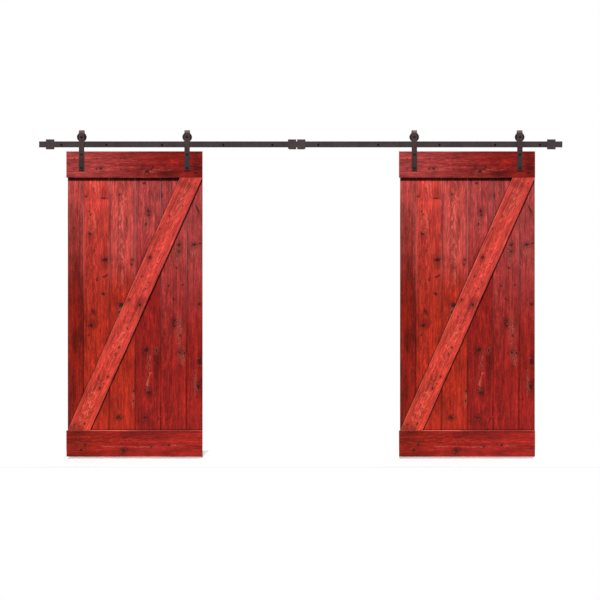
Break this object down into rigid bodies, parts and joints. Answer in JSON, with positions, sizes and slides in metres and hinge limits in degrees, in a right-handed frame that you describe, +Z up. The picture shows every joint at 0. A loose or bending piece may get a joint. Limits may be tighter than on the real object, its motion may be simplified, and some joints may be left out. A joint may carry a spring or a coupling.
{
  "type": "sliding barn door",
  "caption": "Double sliding barn door: Z-braced knotty pine plank leaves with bent strap hangers and grooved wheels on a flat steel wall track.",
  "frame": {"origin": "on the wall plane, at the middle of the track's length and on the track's centre line, which is also the centre of the outer pair of wall bolts", "axes": "+X along the track to the right as seen from the front, +Y into the wall, +Z up; the front of the leaves faces -Y"},
  "size_m": [3.658, 0.1137, 2.282],
  "materials": {
    "plank_pine": "knotty pine boards under a cherry red stain, satin",
    "frame_pine": "knotty pine boards under a cherry red stain, satin",
    "track_steel": "flat steel bar, dark bronze powder coat, satin",
    "stop_steel": "steel blocks, dark bronze powder coat, satin",
    "strap_steel": "bent steel strap, dark bronze powder coat, satin",
    "bolt_steel": "black oxide steel fasteners",
    "wood_screw_steel": "black phosphate screws sunk in the stain",
    "spacer_steel": "turned steel tube, black coat",
    "wheel_nylon": "black turned nylon",
    "bearing_steel": "ground bearing steel",
    "pad_rubber": "black moulded rubber"
  },
  "bodies": {
    "track": {"left_track_rail": "track_steel", "right_track_rail": "track_steel", "track_joiner_plate": "track_steel", "joiner_screws": "bolt_steel", "wall_lag_bolts": "bolt_steel", "wall_spacers": "spacer_steel", "left_end_stop": "stop_steel", "left_centre_stop": "stop_steel", "right_centre_stop": "stop_steel", "right_end_stop": "stop_steel", "stop_rubber_pads": "pad_rubber", "stop_grub_screws": "bolt_steel"},
    "left_leaf": {"left_leaf_plank_1": "plank_pine", "left_leaf_plank_2": "plank_pine", "left_leaf_plank_3": "plank_pine", "left_leaf_plank_4": "plank_pine", "left_leaf_plank_5": "plank_pine", "left_leaf_plank_6": "plank_pine", "left_leaf_top_rail": "frame_pine", "left_leaf_bottom_rail": "frame_pine", "left_leaf_brace": "frame_pine", "left_leaf_rail_screws": "wood_screw_steel", "left_leaf_brace_screws": "wood_screw_steel", "left_leaf_hanger_strap_a": "strap_steel", "left_leaf_hanger_strap_b": "strap_steel", "left_leaf_bearing_inner_rings": "bearing_steel", "left_leaf_axle_bolts": "bolt_steel", "left_leaf_axle_nuts": "bolt_steel", "left_leaf_axle_spacers": "spacer_steel", "left_leaf_strap_bolts": "bolt_steel", "left_leaf_strap_nuts": "bolt_steel"},
    "left_leaf_wheel_a": {"left_leaf_wheel_a": "wheel_nylon", "left_leaf_bearing_outer_ring_a": "bearing_steel"},
    "left_leaf_wheel_b": {"left_leaf_wheel_b": "wheel_nylon", "left_leaf_bearing_outer_ring_b": "bearing_steel"},
    "right_leaf": {"right_leaf_plank_1": "plank_pine", "right_leaf_plank_2": "plank_pine", "right_leaf_plank_3": "plank_pine", "right_leaf_plank_4": "plank_pine", "right_leaf_plank_5": "plank_pine", "right_leaf_plank_6": "plank_pine", "right_leaf_top_rail": "frame_pine", "right_leaf_bottom_rail": "frame_pine", "right_leaf_brace": "frame_pine", "right_leaf_rail_screws": "wood_screw_steel", "right_leaf_brace_screws": "wood_screw_steel", "right_leaf_hanger_strap_a": "strap_steel", "right_leaf_hanger_strap_b": "strap_steel", "right_leaf_bearing_inner_rings": "bearing_steel", "right_leaf_axle_bolts": "bolt_steel", "right_leaf_axle_nuts": "bolt_steel", "right_leaf_axle_spacers": "spacer_steel", "right_leaf_strap_bolts": "bolt_steel", "right_leaf_strap_nuts": "bolt_steel"},
    "right_leaf_wheel_a": {"right_leaf_wheel_a": "wheel_nylon", "right_leaf_bearing_outer_ring_a": "bearing_steel"},
    "right_leaf_wheel_b": {"right_leaf_wheel_b": "wheel_nylon", "right_leaf_bearing_outer_ring_b": "bearing_steel"}
  },
  "joints": [
    {"name": "left_leaf_slide", "type": "slide", "parent": "track", "child": "left_leaf", "axis": [1, 0, 0], "range_m": [-0.1625, 0.6575]},
    {"name": "left_leaf_wheel_a_spin", "type": "hinge", "parent": "left_leaf", "child": "left_leaf_wheel_a", "pos_m": [-1.53053, -0.038, 0.0508], "axis": [0, 1, 0], "continuous": true},
    {"name": "left_leaf_wheel_b_spin", "type": "hinge", "parent": "left_leaf", "child": "left_leaf_wheel_b", "pos_m": [-0.79353, -0.038, 0.0508], "axis": [0, 1, 0], "continuous": true},
    {"name": "right_leaf_slide", "type": "slide", "parent": "track", "child": "right_leaf", "axis": [1, 0, 0], "range_m": [-0.7135, 0.1625]},
    {"name": "right_leaf_wheel_a_spin", "type": "hinge", "parent": "right_leaf", "child": "right_leaf_wheel_a", "pos_m": [0.79353, -0.038, 0.0508], "axis": [0, 1, 0], "continuous": true},
    {"name": "right_leaf_wheel_b_spin", "type": "hinge", "parent": "right_leaf", "child": "right_leaf_wheel_b", "pos_m": [1.53053, -0.038, 0.0508], "axis": [0, 1, 0], "continuous": true}
  ],
  "couplings": [
    {"joint": "left_leaf_wheel_a_spin", "follows": "left_leaf_slide", "rad_per_m": 33.898},
    {"joint": "left_leaf_wheel_b_spin", "follows": "left_leaf_slide", "rad_per_m": 33.898},
    {"joint": "right_leaf_wheel_a_spin", "follows": "right_leaf_slide", "rad_per_m": 33.898},
    {"joint": "right_leaf_wheel_b_spin", "follows": "right_leaf_slide", "rad_per_m": 33.898}
  ]
}
